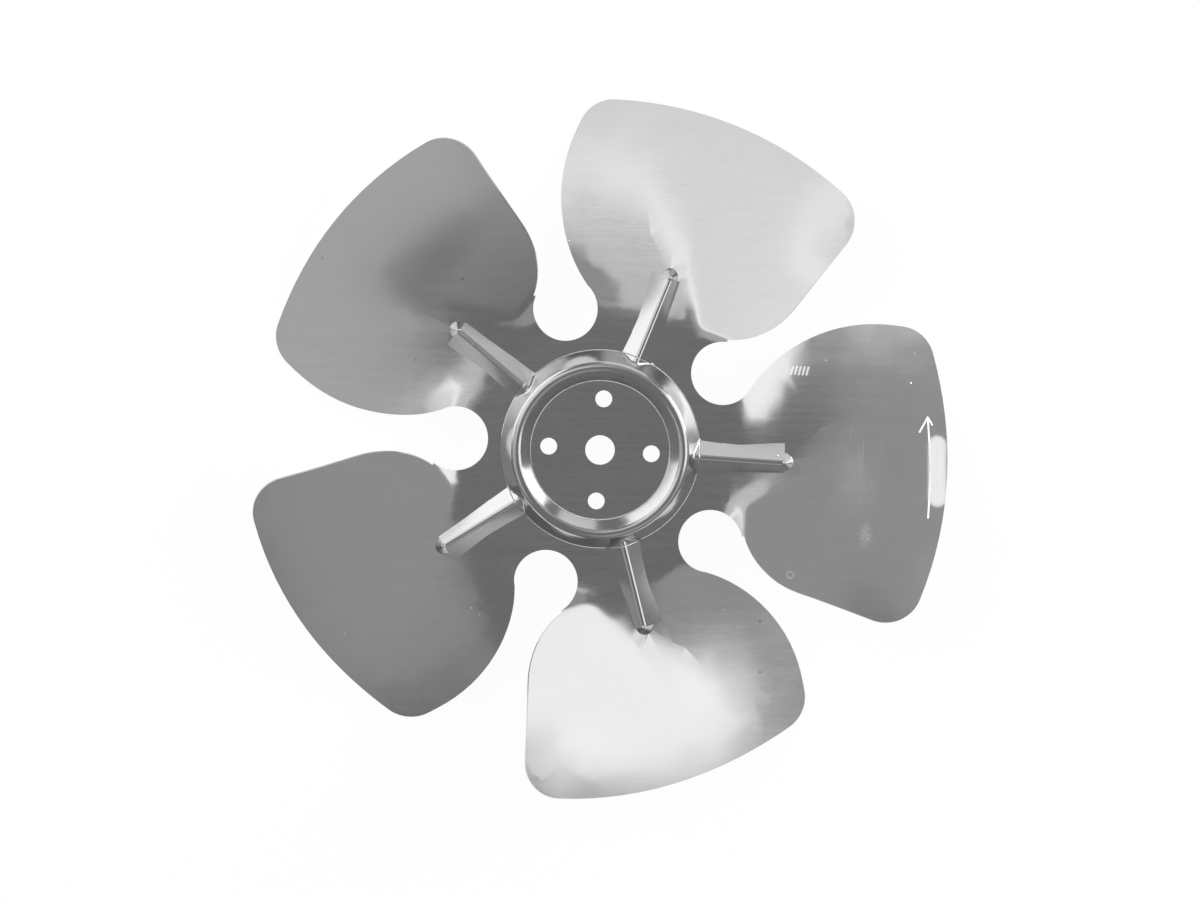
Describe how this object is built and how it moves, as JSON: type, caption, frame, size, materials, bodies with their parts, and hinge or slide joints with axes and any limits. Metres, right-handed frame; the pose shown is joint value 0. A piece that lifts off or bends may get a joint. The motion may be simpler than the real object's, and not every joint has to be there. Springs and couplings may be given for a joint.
{
  "type": "axial fan impeller",
  "caption": "Axial fan impeller pressed from one aluminium sheet: flat hub with a raised ring and ribs, and broad pitched blades; bore and screw circle for a motor.",
  "frame": {"origin": "centre of the bore, on the underside of the hub disc", "axes": "+Z along the fan axis, towards the side where the hub ring and the ribs stand proud; +X along the first rib"},
  "size_m": [0.1676, 0.1701, 0.0249],
  "materials": {
    "sheet": "satin mill finish with fine straight rolling lines"
  },
  "bodies": {
    "root": {"impeller": "sheet"}
  },
  "joints": []
}
